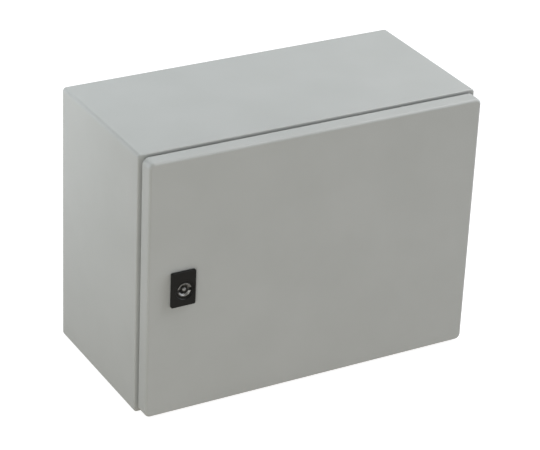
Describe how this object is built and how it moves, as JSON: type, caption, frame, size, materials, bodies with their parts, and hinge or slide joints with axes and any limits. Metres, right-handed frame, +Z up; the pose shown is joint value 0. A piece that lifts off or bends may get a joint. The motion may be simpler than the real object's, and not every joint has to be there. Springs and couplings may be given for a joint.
{
  "type": "switchboard cabinet",
  "caption": "Wall-mounted sheet-steel switchboard cabinet with a foam-sealed hinged door, a quarter-turn lock, an inner mounting plate and a gland plate in its floor.",
  "frame": {"origin": "centre of the flat back face that lies against the wall", "axes": "+Y into the wall, -Y out through the door, +X to the right as one faces the door, +Z up"},
  "size_m": [0.4, 0.2037, 0.3],
  "materials": {
    "powder_coat": "light grey fine-texture powder coat, semi-matt",
    "galvanised_sheet": "galvanised sheet, faint spangle",
    "zinc_plate": "bright zinc-plated steel",
    "satin_metal": "satin nickel on die-cast zinc",
    "black_plastic": "fine-grained black moulding",
    "grey_plastic": "moulded grey",
    "foam_seal": "foamed polyurethane, matt",
    "rubber_seal": "matt"
  },
  "bodies": {
    "enclosure": {"body_wrap": "powder_coat", "back_panel": "powder_coat", "mounting_plate": "galvanised_sheet", "wall_plug_1": "grey_plastic", "wall_plug_2": "grey_plastic", "wall_plug_3": "grey_plastic", "wall_plug_4": "grey_plastic", "plate_stud_1": "zinc_plate", "plate_nut_1": "zinc_plate", "plate_stud_2": "zinc_plate", "plate_nut_2": "zinc_plate", "plate_stud_3": "zinc_plate", "plate_nut_3": "zinc_plate", "plate_stud_4": "zinc_plate", "plate_nut_4": "zinc_plate", "gland_gasket": "foam_seal", "gland_plate": "galvanised_sheet", "gland_stud_1": "zinc_plate", "gland_nut_1": "zinc_plate", "gland_stud_2": "zinc_plate", "gland_nut_2": "zinc_plate", "gland_stud_3": "zinc_plate", "gland_nut_3": "zinc_plate", "gland_stud_4": "zinc_plate", "gland_nut_4": "zinc_plate", "gland_stud_5": "zinc_plate", "gland_nut_5": "zinc_plate", "gland_stud_6": "zinc_plate", "gland_nut_6": "zinc_plate", "earth_stud_body": "zinc_plate", "earth_washer_body": "zinc_plate", "earth_nut_body": "zinc_plate", "hinge_leaf_upper": "zinc_plate", "hinge_pin_upper": "zinc_plate", "hinge_leaf_lower": "zinc_plate", "hinge_pin_lower": "zinc_plate", "hinge_screw_1": "zinc_plate", "hinge_screw_2": "zinc_plate", "hinge_screw_3": "zinc_plate", "hinge_screw_4": "zinc_plate"},
    "door": {"hinge_bracket_upper": "zinc_plate", "hinge_bracket_lower": "zinc_plate", "door_panel": "powder_coat", "door_gasket": "foam_seal", "earth_stud_door": "zinc_plate", "earth_nut_door": "zinc_plate", "lock_housing": "black_plastic", "lock_seal": "rubber_seal", "lock_nut": "zinc_plate"},
    "lock": {"lock_barrel": "satin_metal", "lock_cam": "zinc_plate", "cam_washer": "zinc_plate", "cam_screw": "zinc_plate"}
  },
  "joints": [
    {"name": "door_swing", "type": "hinge", "parent": "enclosure", "child": "door", "pos_m": [0.1915, -0.1905, 0], "axis": [0, 0, 1], "range_deg": [0, 120]},
    {"name": "lock_turn", "type": "hinge", "parent": "door", "child": "lock", "pos_m": [-0.1556, -0.2, -0.0014], "axis": [0, 1, 0], "range_deg": [0, 90]}
  ]
}
